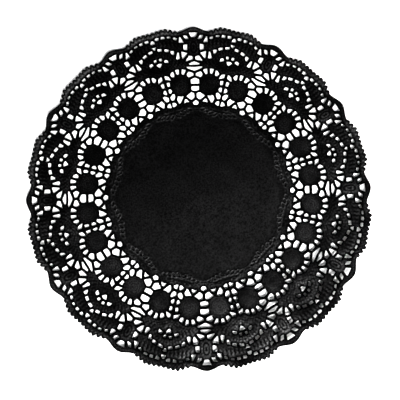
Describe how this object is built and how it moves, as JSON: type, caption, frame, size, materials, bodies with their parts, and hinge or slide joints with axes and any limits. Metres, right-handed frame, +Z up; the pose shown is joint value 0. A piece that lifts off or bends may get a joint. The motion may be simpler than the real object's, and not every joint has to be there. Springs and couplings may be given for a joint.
{
  "type": "round lace paper doily",
  "caption": "Round flat doily of die-cut and embossed black paper lace, with a plain middle and a scalloped, beaded rim.",
  "frame": {"origin": "on the surface it lies on, under the middle of the round", "axes": "+Z up out of the embossed face, +Y through the middle of a plain lobe"},
  "size_m": [0.254, 0.254, 0.001],
  "materials": {
    "black_paper": "embossed, matt with a slight sheen"
  },
  "bodies": {
    "root": {"doily": "black_paper"}
  },
  "joints": []
}
